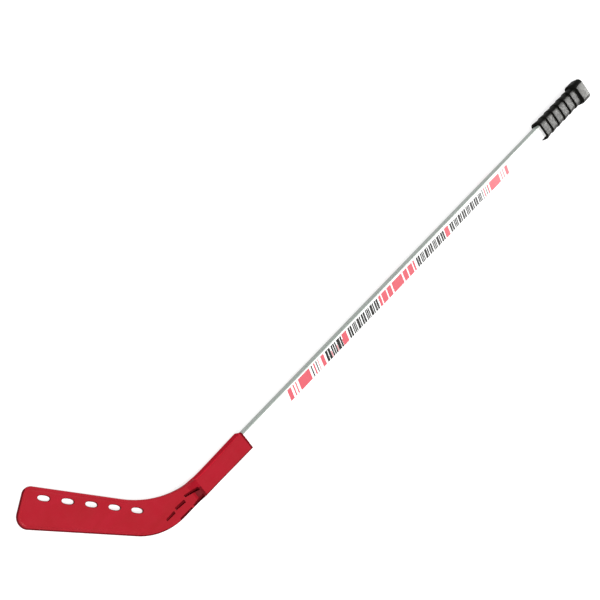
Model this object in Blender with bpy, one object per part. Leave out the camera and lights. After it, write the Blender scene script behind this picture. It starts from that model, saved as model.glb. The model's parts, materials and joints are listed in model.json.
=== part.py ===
"""Plastic street hockey stick: moulded blade with a hosel, hollow shaft, ribbed rubber grip and butt knob.

The stick is drawn in its own axes, then laid down as it rests on a floor:
  +X runs along the shaft from the hosel's mouth (X = 0) to the butt,
  +Y points to the side that the blade's toe is on,
  +Z stands on the broad face, and Z = 0 is the plane that halves the stick's thickness.
Lengths are metres, written as millimetres times MM.
"""

from math import atan2, cos, pi, radians, sin, tan

import bmesh
import bpy
import numpy as np
from mathutils import Matrix, Vector

MM = 0.001

# ---------------------------------------------------------------- driving dimensions
FIT_GAP = 0.3 * MM              # left between every two pieces that touch

SHAFT_WIDTH = 28.6 * MM
SHAFT_THICKNESS = 18.6 * MM
SHAFT_WALL = 2.2 * MM
SHAFT_CORNER = 3.0 * MM
SOCKET_DEPTH = 92.0 * MM        # how far the shaft enters the hosel

BUTT_X = 1195.0 * MM            # the knob's end face
GRIP_START_X = 1015.3 * MM
KNOB_START_X = 1166.5 * MM
KNOB_FLOOR = 5.0 * MM           # rubber beyond the end of the shaft

HOSEL_WIDTH = 35.1 * MM
HOSEL_MOUTH_THICKNESS = 24.6 * MM
HOSEL_END_X = -122.0 * MM       # where the hosel ends in a ramp down to the neck
HOSEL_END_THICKNESS = 21.6 * MM
NECK_START_X = -140.0 * MM      # the ramp's foot
NECK_THICKNESS = 12.6 * MM
TAPER_END_X = -226.0 * MM       # where the neck has come down to the blade's own thickness
NECK_TAPER_POWER = 1.15         # above 1, the neck thins faster next to the hosel
MOUTH_EDGE_ROUND = 1.8 * MM
HOSEL_EDGE_ROUND = 4.6 * MM     # at the hosel's lower end
BLADE_EDGE_ROUND = 2.2 * MM

BLADE_THICKNESS = 5.2 * MM
PANEL_SINK = 0.8 * MM           # the blade's face lies this far under the bead round its edge
BEAD_WIDTH = 4.6 * MM
BEAD_SLOPE = 1.0 * MM           # run of the step from the bead down to the panel
BEAD_FADE = 20.0 * MM           # the bead fades out over this much on each side of the taper's end
BLADE_LENGTH = 260.6 * MM       # heel corner to toe along the sole
BLADE_HEIGHT_HEEL = 53.3 * MM   # sole to top edge, read at the heel corner
BLADE_HEIGHT_TOE = 69.2 * MM    # sole to top edge, read at the toe
LIE_ANGLE = radians(134.0)      # between the shaft and the sole
TOE_LEAN = radians(10.0)        # the toe edge leans back over the sole
HEEL_X = -225.3 * MM            # where the sole's line meets the hosel's back edge
HEEL_RADIUS = 118.0 * MM
THROAT_RADIUS = 183.0 * MM      # inner bend between the hosel and the blade's top edge
TOE_SOLE_RADIUS = 20.0 * MM
TOE_TOP_RADIUS = 15.0 * MM

HOLE_COUNT = 5
HOLE_LENGTH = 20.8 * MM
HOLE_HEIGHT = 8.6 * MM
HOLE_SQUARENESS = 2.35          # exponent of the holes' outline; 2 is an ellipse
HOLE_PITCH = 40.5 * MM
FIRST_HOLE = 52.4 * MM          # from the heel corner along the sole
FIRST_HOLE_UP = 41.7 * MM       # from the sole up to the first hole's centre
HOLE_ROW_SLOPE = 0.054          # the row climbs this much per length along the sole

WEB_HALF = 1.5 * MM             # floor of the neck's pockets above the middle plane
POCKET_DRAFT = 0.5 * MM

GRIP_RIBS = 6
GRIP_WALL_SIDE = 5.6 * MM       # rubber at the thin end of each rib, on the narrow sides
GRIP_WALL_FACE = 1.9 * MM       # the same wall on the broad faces
GRIP_RISE_SIDE = 0.8 * MM       # step at the thick end, on the narrow sides
GRIP_RISE_FACE = 2.8 * MM       # the same step on the broad faces
GRIP_LIP = 0.5 * MM             # extra height of the first rib
GRIP_CORNER = 10.0 * MM

KNOB_WIDTH = 49.6 * MM
KNOB_THICKNESS = 34.0 * MM
KNOB_CORNER = 10.0 * MM
KNOB_EDGE = 2.2 * MM

CORE_LENGTH = 78.0 * MM
PLUG_LENGTH = 34.0 * MM

SCREW_X = -56.5 * MM
SCREW_LENGTH = 10.4 * MM
SCREW_SHANK = 1.9 * MM
SCREW_HEAD = 3.7 * MM
SCREW_HEAD_DEPTH = 2.2 * MM
SCREW_SINK = 0.2 * MM           # the head sits this far under the hosel's face
SCREW_SIDES = 28

CORNER_STEPS = 5                # segments in each rounded corner of a tube

# ---------------------------------------------------------------- worked-out dimensions
SHAFT_BOTTOM_X = -SOCKET_DEPTH
SHAFT_TOP_X = BUTT_X - KNOB_FLOOR
SOLE_DIR = Vector((cos(LIE_ANGLE), sin(LIE_ANGLE)))
RISE_DIR = Vector((sin(LIE_ANGLE), -cos(LIE_ANGLE)))
HEEL = Vector((HEEL_X, -HOSEL_WIDTH / 2))


# ---------------------------------------------------------------- helpers
def clear_scene():
    for item in list(bpy.data.objects):
        bpy.data.objects.remove(item, do_unlink=True)


def material(name, colour, roughness, metallic=0.0):
    made = bpy.data.materials.new(name)
    made.use_nodes = True
    shader = made.node_tree.nodes["Principled BSDF"]
    shader.inputs["Base Color"].default_value = (*colour, 1.0)
    shader.inputs["Roughness"].default_value = roughness
    shader.inputs["Metallic"].default_value = metallic
    made.diffuse_color = (*colour, 1.0)
    return made


def weight_normals(item):
    """Let the large faces set the shading, so that cuts leave flat faces looking flat."""
    weighted = item.modifiers.new("weighted_normals", "WEIGHTED_NORMAL")
    weighted.keep_sharp = True


def new_object(name, mesh_data, root, finish):
    """Turn a bmesh into a named object under the root empty."""
    bmesh.ops.recalc_face_normals(mesh_data, faces=mesh_data.faces)
    mesh = bpy.data.meshes.new(name)
    mesh_data.to_mesh(mesh)
    mesh_data.free()
    item = bpy.data.objects.new(name, mesh)
    bpy.context.scene.collection.objects.link(item)
    item.parent = root
    item.data.materials.append(finish)
    item.data.shade_smooth()
    item.data.set_sharp_from_angle(angle=radians(30))
    return item


def cut(target, cutter_mesh, name, root):
    """Subtract a closed bmesh from an object, and leave the cutter as a hidden guide."""
    cutter = new_object(name, cutter_mesh, root, target.data.materials[0])
    cutter.hide_render = True
    cutter.display_type = "WIRE"
    modifier = target.modifiers.new(name, "BOOLEAN")
    modifier.operation = "DIFFERENCE"
    modifier.solver = "EXACT"
    modifier.object = cutter


def rounded_rectangle(half_width, half_thickness, radius, steps=CORNER_STEPS):
    """Corner points of a rounded rectangle in Y and Z, counter-clockwise."""
    radius = min(radius, half_width, half_thickness)
    points = []
    for corner, (side_y, side_z) in enumerate(((1, 1), (-1, 1), (-1, -1), (1, -1))):
        centre_y = side_y * (half_width - radius)
        centre_z = side_z * (half_thickness - radius)
        for step in range(steps + 1):
            angle = pi / 2 * (corner + step / steps)
            points.append((centre_y + radius * cos(angle), centre_z + radius * sin(angle)))
    return points


def add_ring(mesh_data, x, section):
    return [mesh_data.verts.new((x, y, z)) for y, z in section]


def bridge(mesh_data, first, second):
    count = len(first)
    for here in range(count):
        after = (here + 1) % count
        mesh_data.faces.new((first[here], first[after], second[after], second[here]))


def loft(stations, closed_ring):
    """Skin rounded rectangles given as (x, half width, half thickness, corner radius).

    A closed ring joins its last station to its first, for a tube; otherwise both ends are capped.
    """
    mesh_data = bmesh.new()
    rings = [add_ring(mesh_data, x, rounded_rectangle(w, t, r)) for x, w, t, r in stations]
    for first, second in zip(rings, rings[1:]):
        bridge(mesh_data, first, second)
    if closed_ring:
        bridge(mesh_data, rings[-1], rings[0])
    else:
        mesh_data.faces.new(rings[0])
        mesh_data.faces.new(rings[-1])
    return mesh_data


def turned(profile, sides, matrix):
    """Solid of revolution about Z from (radius, z) points; the first and last lie on the axis."""
    mesh_data = bmesh.new()
    bottom = mesh_data.verts.new((0, 0, profile[0][1]))
    top = mesh_data.verts.new((0, 0, profile[-1][1]))
    rings = []
    for radius, z in profile[1:-1]:
        turns = [2 * pi * side / sides for side in range(sides)]
        rings.append([mesh_data.verts.new((radius * cos(a), radius * sin(a), z)) for a in turns])
    for first, second in zip(rings, rings[1:]):
        bridge(mesh_data, first, second)
    for side in range(sides):
        after = (side + 1) % sides
        mesh_data.faces.new((bottom, rings[0][after], rings[0][side]))
        mesh_data.faces.new((top, rings[-1][side], rings[-1][after]))
    bmesh.ops.transform(mesh_data, matrix=matrix, verts=mesh_data.verts)
    return mesh_data


def prism(outline, z_low, z_high, draft=0.0):
    """Closed prism over a convex outline; its low end is drawn in by the draft."""
    centre = sum((Vector(point) for point in outline), Vector((0, 0))) / len(outline)
    mesh_data = bmesh.new()
    low = []
    for point in outline:
        inward = centre - Vector(point)
        place = Vector(point) + inward.normalized() * draft
        low.append(mesh_data.verts.new((place.x, place.y, z_low)))
    high = [mesh_data.verts.new((*point, z_high)) for point in outline]
    mesh_data.faces.new(low)
    mesh_data.faces.new(high)
    bridge(mesh_data, low, high)
    return mesh_data


# ---------------------------------------------------------------- blade outline
def blade_point(along, up):
    """Plan position of a point given along the sole from the heel corner and up from the sole."""
    place = HEEL + SOLE_DIR * along + RISE_DIR * up
    return place


def meeting(point_a, dir_a, point_b, dir_b):
    """Where two lines in the plan cross."""
    across = dir_a.x * dir_b.y - dir_a.y * dir_b.x
    gap = point_b - point_a
    return point_a + dir_a * ((gap.x * dir_b.y - gap.y * dir_b.x) / across)


def fillet(corner, dir_in, dir_out, radius, steps):
    """Arc that rounds the corner between a line arriving along dir_in and one leaving along dir_out."""
    turn = atan2(dir_in.x * dir_out.y - dir_in.y * dir_out.x, dir_in.dot(dir_out))
    reach = radius * tan(abs(turn) / 2)
    start = corner - dir_in * reach
    side = 1 if turn > 0 else -1
    centre = start + Vector((-dir_in.y, dir_in.x)) * side * radius
    spoke = start - centre
    points = []
    for step in range(steps + 1):
        angle = turn * step / steps
        points.append(centre + Vector((spoke.x * cos(angle) - spoke.y * sin(angle),
                                       spoke.x * sin(angle) + spoke.y * cos(angle))))
    return points


def along_polyline(points, fraction):
    """Point at a fraction of a polyline's length."""
    lengths = [(b - a).length for a, b in zip(points, points[1:])]
    left = fraction * sum(lengths)
    for (a, b), length in zip(zip(points, points[1:]), lengths):
        if left <= length or b is points[-1]:
            return a + (b - a) * min(left / length, 1.0)
        left -= length
    return points[-1]


def blade_edges():
    """Matched points down the blade's lower edge and its upper edge, from the hosel's mouth to the toe."""
    to_blade = Vector((-1.0, 0.0))
    top_heel = blade_point(0, BLADE_HEIGHT_HEEL)
    top_toe = blade_point(BLADE_LENGTH, BLADE_HEIGHT_TOE)
    top_dir = (top_toe - top_heel).normalized()
    toe_dir = (RISE_DIR * cos(TOE_LEAN) - SOLE_DIR * sin(TOE_LEAN)).normalized()
    toe_foot = blade_point(BLADE_LENGTH, 0)
    front = Vector((0.0, HOSEL_WIDTH / 2))
    throat = meeting(front, to_blade, top_heel, top_dir)
    toe_head = meeting(toe_foot, toe_dir, top_heel, top_dir)

    heel_arc = fillet(HEEL, to_blade, SOLE_DIR, HEEL_RADIUS, 16)
    throat_arc = fillet(throat, to_blade, top_dir, THROAT_RADIUS, 16)
    sole_corner = fillet(toe_foot, SOLE_DIR, toe_dir, TOE_SOLE_RADIUS, 18)
    top_corner = fillet(toe_head, top_dir, -toe_dir, TOE_TOP_RADIUS, 18)

    lower = []
    upper = []
    for share in (0.0, 0.25, 0.5, 0.75, 0.93):
        lower.append(Vector((throat_arc[0].x * share, -HOSEL_WIDTH / 2)))
        upper.append(Vector((throat_arc[0].x * share, HOSEL_WIDTH / 2)))
    lower_run = [lower[-1], *heel_arc, sole_corner[0]]
    upper_run = [upper[-1], *throat_arc, top_corner[0]]
    middle_steps = 48
    for step in range(1, middle_steps + 1):
        fraction = step / middle_steps
        lower.append(along_polyline(lower_run, fraction))
        upper.append(along_polyline(upper_run, fraction))
    for turned_by in (0.25, 0.45, 0.6, 0.72, 0.82, 0.91, 1.0):
        lower.append(along_polyline(sole_corner, turned_by))
        upper.append(along_polyline(top_corner, turned_by))
    return lower, upper


def distance_to_edges(place, edges):
    """Shortest distance from a plan point to a set of edge segments (rows of x0, y0, x1, y1)."""
    start = edges[:, :2]
    run = edges[:, 2:] - start
    reach = np.array((place.x, place.y)) - start
    share = np.clip((reach * run).sum(axis=1) / (run * run).sum(axis=1), 0.0, 1.0)
    gaps = reach - run * share[:, None]
    return float(np.sqrt((gaps * gaps).sum(axis=1)).min())


def ease(value, low, high):
    """Smooth step from 0 at low to 1 at high."""
    share = min(max((value - low) / (high - low), 0.0), 1.0)
    return share * share * (3 - 2 * share)


def full_thickness(x):
    """Thickness of the moulding: hosel with its draft, ramp, then the neck's taper to the blade."""
    if x >= HOSEL_END_X:
        return HOSEL_END_THICKNESS + (HOSEL_MOUTH_THICKNESS - HOSEL_END_THICKNESS) * (1 - x / HOSEL_END_X)
    if x >= NECK_START_X:
        ramp = ease(x, NECK_START_X, HOSEL_END_X)
        return NECK_THICKNESS + (HOSEL_END_THICKNESS - NECK_THICKNESS) * ramp
    share = min(max((x - TAPER_END_X) / (NECK_START_X - TAPER_END_X), 0.0), 1.0)
    return BLADE_THICKNESS + (NECK_THICKNESS - BLADE_THICKNESS) * share ** NECK_TAPER_POWER


def edge_radius(x):
    """Rounding of the long edges: sharp at the mouth, fuller down the hosel, small on the blade."""
    if x >= HOSEL_END_X:
        return MOUTH_EDGE_ROUND + (HOSEL_EDGE_ROUND - MOUTH_EDGE_ROUND) * ease(x / HOSEL_END_X, 0, 0.75)
    wanted = BLADE_EDGE_ROUND + (HOSEL_EDGE_ROUND - BLADE_EDGE_ROUND) * ease(x, TAPER_END_X, HOSEL_END_X)
    return min(wanted, full_thickness(x) / 2 - 0.4 * MM)


def surface_height(place, edges):
    """Height of the front face over the middle plane: rounded edge, bead, then the sunk panel."""
    half = full_thickness(place.x) / 2
    radius = edge_radius(place.x)
    gap = distance_to_edges(place, edges)
    inset = min(gap, radius)
    sink = PANEL_SINK * ease(gap, BEAD_WIDTH, BEAD_WIDTH + BEAD_SLOPE)
    sink *= 1 - ease(place.x, TAPER_END_X - BEAD_FADE, TAPER_END_X + BEAD_FADE)
    return half - sink - radius + radius * (1 - (1 - inset / radius) ** 2) ** 0.5


def row_positions(x, width):
    """Distances across a section: close together over its rounded edges and beads."""
    radius = edge_radius(x)
    edge = [0.0, 0.12 * radius, 0.45 * radius, radius, BEAD_WIDTH, BEAD_WIDTH + BEAD_SLOPE]
    first = edge[-1]
    inner = 5
    middle = [first + (width - 2 * first) * k / inner for k in range(1, inner)]
    return edge + middle + [width - gap for gap in reversed(edge)]


# ---------------------------------------------------------------- blade
def blade_body():
    """Blade, neck and hosel as one skin: front and back grids joined round their edge."""
    lower, upper = blade_edges()
    rows = [*zip(lower, lower[1:]), *zip(upper, upper[1:]), (lower[-1], upper[-1])]
    edges = np.array([(a.x, a.y, b.x, b.y) for a, b in rows])
    mesh_data = bmesh.new()
    faces = {}
    for side in (1, -1):
        grid = []
        for low, high in zip(lower, upper):
            width = (high - low).length
            direction = (high - low) / width
            middle = (low.x + high.x) / 2
            places = [low + direction * offset for offset in row_positions(middle, width)]
            heights = [surface_height(place, edges) for place in places]
            grid.append([mesh_data.verts.new((p.x, p.y, side * h)) for p, h in zip(places, heights)])
        for first, second in zip(grid, grid[1:]):
            for here in range(len(first) - 1):
                mesh_data.faces.new((first[here], first[here + 1], second[here + 1], second[here]))
        faces[side] = grid
    join_grids(mesh_data, faces[1], faces[-1])
    bmesh.ops.triangulate(mesh_data, faces=mesh_data.faces)
    return mesh_data


def join_grids(mesh_data, front, back):
    """Close the rim between the front and back grids, and the hosel's mouth."""
    front_rim = [row[0] for row in front] + front[-1][1:] + [row[-1] for row in reversed(front[:-1])]
    back_rim = [row[0] for row in back] + back[-1][1:] + [row[-1] for row in reversed(back[:-1])]
    for here in range(len(front_rim) - 1):
        quad = (front_rim[here], front_rim[here + 1], back_rim[here + 1], back_rim[here])
        mesh_data.faces.new(quad)
    for here in range(len(front[0]) - 1):
        mesh_data.faces.new((front[0][here], back[0][here], back[0][here + 1], front[0][here + 1]))


def oval(centre, along, length, height, steps=32):
    """Outline of a slightly squared ellipse, its long axis turned to a direction."""
    across = Vector((-along.y, along.x))
    power = 2 / HOLE_SQUARENESS
    points = []
    for step in range(steps):
        angle = 2 * pi * step / steps
        reach = length / 2 * abs(cos(angle)) ** power * (1 if cos(angle) >= 0 else -1)
        rise = height / 2 * abs(sin(angle)) ** power * (1 if sin(angle) >= 0 else -1)
        points.append(tuple(centre + along * reach + across * rise))
    return points


def hole_centres():
    """Centres of the slots, evenly spaced on a line that climbs towards the toe."""
    steps = [number * HOLE_PITCH for number in range(HOLE_COUNT)]
    return [blade_point(FIRST_HOLE + step, FIRST_HOLE_UP + HOLE_ROW_SLOPE * step) for step in steps]


def neck_pockets():
    """Outlines of the coring pockets that leave the neck's ribs standing, as (x, y) corners."""
    rows = [
        (-126, -154, (-0.7, 5.5), (7.1, 11.3)),        # centre row: x from, x to, y span at each
        (-158, -180, (0.1, 5.9), (2.1, 6.9)),
        (-184, -204, (-0.5, 4.5), (-0.1, 3.5)),
        (-126, -151, (-16.4, -9.6), (-16.4, -12.2)),   # row along the back edge
        (-155, -184, (-16.4, -13.0), (-15.6, -12.4)),
    ]
    outlines = []
    for x_from, x_to, span_from, span_to in rows:
        corners = ((x_from, span_from[0]), (x_from, span_from[1]), (x_to, span_to[1]), (x_to, span_to[0]))
        outlines.append([(x * MM, y * MM) for x, y in corners])
    return outlines


def make_blade(root, finish):
    blade = new_object("blade", blade_body(), root, finish)
    half_width = SHAFT_WIDTH / 2 + FIT_GAP
    half_depth = SHAFT_THICKNESS / 2 + FIT_GAP
    corner = SHAFT_CORNER + FIT_GAP
    depth = -SOCKET_DEPTH - FIT_GAP
    socket = loft([(depth, half_width, half_depth, corner), (5 * MM, half_width, half_depth, corner)], False)
    cut(blade, socket, "cut_socket", root)

    row_dir = (SOLE_DIR + RISE_DIR * HOLE_ROW_SLOPE).normalized()
    for number, centre in enumerate(hole_centres(), 1):
        slot = prism(oval(centre, row_dir, HOLE_LENGTH, HOLE_HEIGHT), -10 * MM, 10 * MM)
        cut(blade, slot, f"cut_slot_{number}", root)

    for number, outline in enumerate(neck_pockets(), 1):
        for side, face in ((1, "front"), (-1, "back")):
            pocket = prism(outline, WEB_HALF, 20 * MM, POCKET_DRAFT)
            bmesh.ops.transform(pocket, matrix=Matrix.Diagonal((1, 1, side, 1)), verts=pocket.verts)
            cut(blade, pocket, f"cut_pocket_{number}_{face}", root)
    for side, face in ((1, "front"), (-1, "back")):
        cut(blade, screw_solid(side, FIT_GAP), f"cut_hosel_screw_{face}", root)
    return blade


# ---------------------------------------------------------------- shaft and what is inside it
def make_shaft(root, finish):
    half_width = SHAFT_WIDTH / 2
    half_depth = SHAFT_THICKNESS / 2
    inner = (half_width - SHAFT_WALL, half_depth - SHAFT_WALL, SHAFT_CORNER - SHAFT_WALL * 0.5)
    outer = (half_width, half_depth, SHAFT_CORNER)
    tube = loft([(SHAFT_BOTTOM_X, *outer), (SHAFT_TOP_X, *outer), (SHAFT_TOP_X, *inner),
                 (SHAFT_BOTTOM_X, *inner)], True)
    shaft = new_object("shaft", tube, root, finish)
    for side, face in ((1, "front"), (-1, "back")):
        cut(shaft, screw_solid(side, FIT_GAP), f"cut_shaft_screw_{face}", root)
    return shaft


def fill_block(name, x_from, x_to, root, finish):
    """Solid block that fills the shaft's hollow over a length, with its ends chamfered."""
    half_width = SHAFT_WIDTH / 2 - SHAFT_WALL - FIT_GAP
    half_depth = SHAFT_THICKNESS / 2 - SHAFT_WALL - FIT_GAP
    chamfer = 1.0 * MM
    corner = 1.6 * MM
    ends = [(x_from, half_width - chamfer, half_depth - chamfer, corner),
            (x_from + chamfer, half_width, half_depth, corner),
            (x_to - chamfer, half_width, half_depth, corner),
            (x_to, half_width - chamfer, half_depth - chamfer, corner)]
    return new_object(name, loft(ends, False), root, finish)


def make_core(root, finish):
    core = fill_block("core_block", SHAFT_BOTTOM_X + FIT_GAP, SHAFT_BOTTOM_X + CORE_LENGTH, root, finish)
    for side, face in ((1, "front"), (-1, "back")):
        cut(core, screw_solid(side, FIT_GAP), f"cut_core_screw_{face}", root)
    return core


def make_plug(root, finish):
    top = SHAFT_TOP_X - FIT_GAP
    return fill_block("butt_plug", top - PLUG_LENGTH, top, root, finish)


# ---------------------------------------------------------------- screws
def screw_solid(side, clearance):
    """Countersunk screw standing in the hosel's broad face, grown by a clearance when it is a cutter."""
    top = full_thickness(SCREW_X) / 2 - SCREW_SINK
    over = 3 * MM if clearance else 0.0
    tip = top - SCREW_LENGTH - clearance
    head = SCREW_HEAD + clearance
    shank = SCREW_SHANK + clearance
    neck = top - SCREW_HEAD_DEPTH - clearance * 0.5
    point = 2.4 * MM
    profile = [(0, tip), (shank * 0.35, tip), (shank, tip + point), (shank, neck),
               (head, top - 0.35 * MM), (head, top + over), (0, top + over)]
    flip = Matrix.Diagonal((1, 1, side, 1))
    return turned(profile, SCREW_SIDES, Matrix.Translation((SCREW_X, 0, 0)) @ flip)


def make_screw(side, face, root, finish):
    """Screw with a cross recess in its head."""
    screw = new_object(f"hosel_screw_{face}", screw_solid(side, 0.0), root, finish)
    top = full_thickness(SCREW_X) / 2 - SCREW_SINK
    bar = 2.1 * MM
    blade_half = 0.42 * MM
    arms = []
    for turn in range(4):
        angle = pi / 2 * turn
        for across in (-blade_half, blade_half):
            x = bar * cos(angle) - across * sin(angle)
            y = bar * sin(angle) + across * cos(angle)
            arms.append((SCREW_X + x, y))
        corner = angle + pi / 4
        inner = blade_half * 2 ** 0.5
        arms.append((SCREW_X + inner * cos(corner), inner * sin(corner)))
    recess = prism(arms, top - 1.1 * MM, top + 2 * MM)
    bmesh.ops.transform(recess, matrix=Matrix.Diagonal((1, 1, side, 1)), verts=recess.verts)
    cut(screw, recess, f"cut_recess_{face}", root)
    return screw


# ---------------------------------------------------------------- grip and knob
def grip_stations():
    """Outer stations of the sleeve: each rib steps up at its blade end and falls away to the butt."""
    bore_width = SHAFT_WIDTH / 2 + FIT_GAP
    bore_depth = SHAFT_THICKNESS / 2 + FIT_GAP
    tail_width = bore_width + GRIP_WALL_SIDE
    tail_depth = bore_depth + GRIP_WALL_FACE
    pitch = (KNOB_START_X - FIT_GAP - GRIP_START_X) / GRIP_RIBS
    stations = []
    for rib in range(GRIP_RIBS):
        start = GRIP_START_X + rib * pitch
        extra = GRIP_LIP if rib == 0 else 0.0
        side_rise = GRIP_RISE_SIDE + extra
        face_rise = GRIP_RISE_FACE + extra
        steps = ((0.0, 0.0), (0.5 * MM, 0.75), (1.3 * MM, 1.0), (2.6 * MM, 0.97), (pitch * 0.6, 0.38),
                 (pitch - 1.0 * MM, 0.06))
        for offset, share in steps:
            stations.append((start + offset, tail_width + side_rise * share, tail_depth + face_rise * share,
                             GRIP_CORNER))
    stations.append((KNOB_START_X - FIT_GAP, tail_width, tail_depth, GRIP_CORNER))
    return stations


def make_grip(root, finish):
    bore = (SHAFT_WIDTH / 2 + FIT_GAP, SHAFT_THICKNESS / 2 + FIT_GAP, SHAFT_CORNER + FIT_GAP)
    stations = grip_stations()
    inner = [(KNOB_START_X - FIT_GAP, *bore), (GRIP_START_X, *bore)]
    return new_object("grip_sleeve", loft(stations + inner, True), root, finish)


def make_knob(root, finish):
    """Square-shouldered cap over the end of the shaft, closed at the butt."""
    half_width = KNOB_WIDTH / 2
    half_depth = KNOB_THICKNESS / 2
    outer = []
    for end, inward in ((KNOB_START_X, 1), (BUTT_X, -1)):
        shoulder = []
        for step in range(4):
            angle = pi / 2 * step / 3
            inset = KNOB_EDGE * (1 - sin(angle))
            shoulder.append((end + inward * KNOB_EDGE * (1 - cos(angle)), half_width - inset,
                             half_depth - inset, KNOB_CORNER))
        outer += shoulder if inward == 1 else list(reversed(shoulder))
    bore = (SHAFT_WIDTH / 2 + FIT_GAP, SHAFT_THICKNESS / 2 + FIT_GAP, SHAFT_CORNER + FIT_GAP)
    floor = SHAFT_TOP_X + FIT_GAP
    stations = [(floor, *bore), (KNOB_START_X, *bore), *outer]
    return new_object("butt_knob", loft(stations, False), root, finish)


# ---------------------------------------------------------------- resting pose
def resting_turn():
    """Turn that lays the stick on the three points it rests on: knob edge, hosel mouth and toe."""
    knob = Vector((KNOB_START_X + KNOB_EDGE, KNOB_WIDTH / 2 - KNOB_CORNER, -KNOB_THICKNESS / 2))
    hosel = Vector((0, HOSEL_WIDTH / 2 - MOUTH_EDGE_ROUND, -HOSEL_MOUTH_THICKNESS / 2))
    _lower, upper = blade_edges()
    highest = max(upper, key=lambda point: point.y)
    toe = Vector((highest.x, highest.y - BLADE_EDGE_ROUND, -BLADE_THICKNESS / 2))
    normal = (hosel - knob).cross(toe - knob).normalized()
    if normal.z < 0:
        normal = -normal
    return normal.rotation_difference(Vector((0, 0, 1)))


def lay_on_floor(root, pieces):
    """Turn the stick to its resting pose, with the origin under the middle of its box."""
    root.rotation_mode = "QUATERNION"
    root.rotation_quaternion = resting_turn()
    bpy.context.view_layer.update()
    corners = []
    for piece in pieces:
        corners += [piece.matrix_world @ vertex.co for vertex in piece.data.vertices]
    low = Vector([min(corner[axis] for corner in corners) for axis in range(3)])
    high = Vector([max(corner[axis] for corner in corners) for axis in range(3)])
    middle = (low + high) / 2
    root.location = (-middle.x, -middle.y, -low.z)
    bpy.context.view_layer.update()


def main():
    clear_scene()
    root = bpy.data.objects.new("stick_frame", None)
    bpy.context.scene.collection.objects.link(root)
    red = material("blade_plastic", (0.62, 0.02, 0.045), 0.32)
    white = material("shaft_plastic", (0.86, 0.87, 0.86), 0.28)
    black = material("grip_rubber", (0.022, 0.022, 0.022), 0.42)
    wood = material("core_wood", (0.62, 0.43, 0.25), 0.7)
    grey = material("plug_plastic", (0.2, 0.2, 0.2), 0.5)
    painted = material("screw_steel", (0.30, 0.012, 0.02), 0.4)
    pieces = [
        make_blade(root, red),
        make_shaft(root, white),
        make_core(root, wood),
        make_plug(root, grey),
        make_screw(1, "front", root, painted),
        make_screw(-1, "back", root, painted),
        make_grip(root, black),
        make_knob(root, black),
    ]
    for piece in pieces:
        weight_normals(piece)
    lay_on_floor(root, pieces)


main()
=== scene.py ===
"""Visual model of a plastic street hockey stick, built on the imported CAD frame.

Pieces are drawn in the stick's own axes and carried into the row frame by one matrix:
  +X runs along the shaft from the hosel's mouth (X = 0) to the butt,
  +Y points to the side that the blade's toe is on,
  +Z stands on the broad face, and Z = 0 halves the stick's thickness.
"""
import json
from math import atan2, ceil, cos, pi, radians, sin, tan

import bmesh
import bpy
import numpy as np
from mathutils import Matrix, Vector
from mathutils.geometry import delaunay_2d_cdt


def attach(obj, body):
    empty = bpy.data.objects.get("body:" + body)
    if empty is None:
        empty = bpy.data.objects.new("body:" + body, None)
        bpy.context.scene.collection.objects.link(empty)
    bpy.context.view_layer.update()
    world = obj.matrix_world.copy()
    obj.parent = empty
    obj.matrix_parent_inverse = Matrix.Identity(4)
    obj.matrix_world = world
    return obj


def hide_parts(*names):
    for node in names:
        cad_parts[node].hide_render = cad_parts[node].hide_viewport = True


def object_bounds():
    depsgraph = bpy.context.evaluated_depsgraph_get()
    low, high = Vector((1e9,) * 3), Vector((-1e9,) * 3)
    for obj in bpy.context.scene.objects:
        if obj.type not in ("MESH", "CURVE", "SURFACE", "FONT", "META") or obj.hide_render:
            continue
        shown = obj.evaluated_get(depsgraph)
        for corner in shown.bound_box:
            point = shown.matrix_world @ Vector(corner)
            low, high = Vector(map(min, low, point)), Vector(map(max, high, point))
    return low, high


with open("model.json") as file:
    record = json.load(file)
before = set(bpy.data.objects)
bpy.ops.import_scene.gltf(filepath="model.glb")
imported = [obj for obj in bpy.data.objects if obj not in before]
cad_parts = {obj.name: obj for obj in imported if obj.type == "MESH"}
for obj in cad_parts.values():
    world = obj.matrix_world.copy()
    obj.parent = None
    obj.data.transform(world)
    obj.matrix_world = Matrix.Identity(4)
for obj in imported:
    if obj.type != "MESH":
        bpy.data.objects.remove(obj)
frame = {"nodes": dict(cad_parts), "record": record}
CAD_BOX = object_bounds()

MM = 0.001

# ---------------------------------------------------------------- dimensions, as in the CAD part
BUTT_X = 1195.0 * MM
GRIP_START_X = 1015.3 * MM
KNOB_START_X = 1166.5 * MM
KNOB_FLOOR = 5.0 * MM
FIT_GAP = 0.3 * MM
SHAFT_WIDTH = 28.6 * MM
SHAFT_THICKNESS = 18.6 * MM
SHAFT_WALL = 2.2 * MM
SHAFT_CORNER = 3.0 * MM
SHAFT_BORE_CORNER = 1.9 * MM
SOCKET_DEPTH = 92.0 * MM

HOSEL_WIDTH = 35.1 * MM
HOSEL_MOUTH_THICKNESS = 24.6 * MM
HOSEL_END_X = -122.0 * MM
HOSEL_END_THICKNESS = 21.6 * MM
NECK_START_X = -140.0 * MM
NECK_THICKNESS = 12.6 * MM
TAPER_END_X = -226.0 * MM
NECK_TAPER_POWER = 1.15
MOUTH_EDGE_ROUND = 1.8 * MM
HOSEL_EDGE_ROUND = 4.6 * MM
BLADE_EDGE_ROUND = 2.2 * MM
BLADE_THICKNESS = 5.2 * MM
PANEL_SINK = 0.8 * MM
BEAD_WIDTH = 4.6 * MM
BEAD_SLOPE = 1.0 * MM
BEAD_FADE = 20.0 * MM
BLADE_LENGTH = 260.6 * MM
BLADE_HEIGHT_HEEL = 53.3 * MM
BLADE_HEIGHT_TOE = 69.2 * MM
LIE_ANGLE = radians(134.0)
TOE_LEAN = radians(10.0)
HEEL_X = -225.3 * MM
HEEL_RADIUS = 118.0 * MM
THROAT_RADIUS = 183.0 * MM
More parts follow.
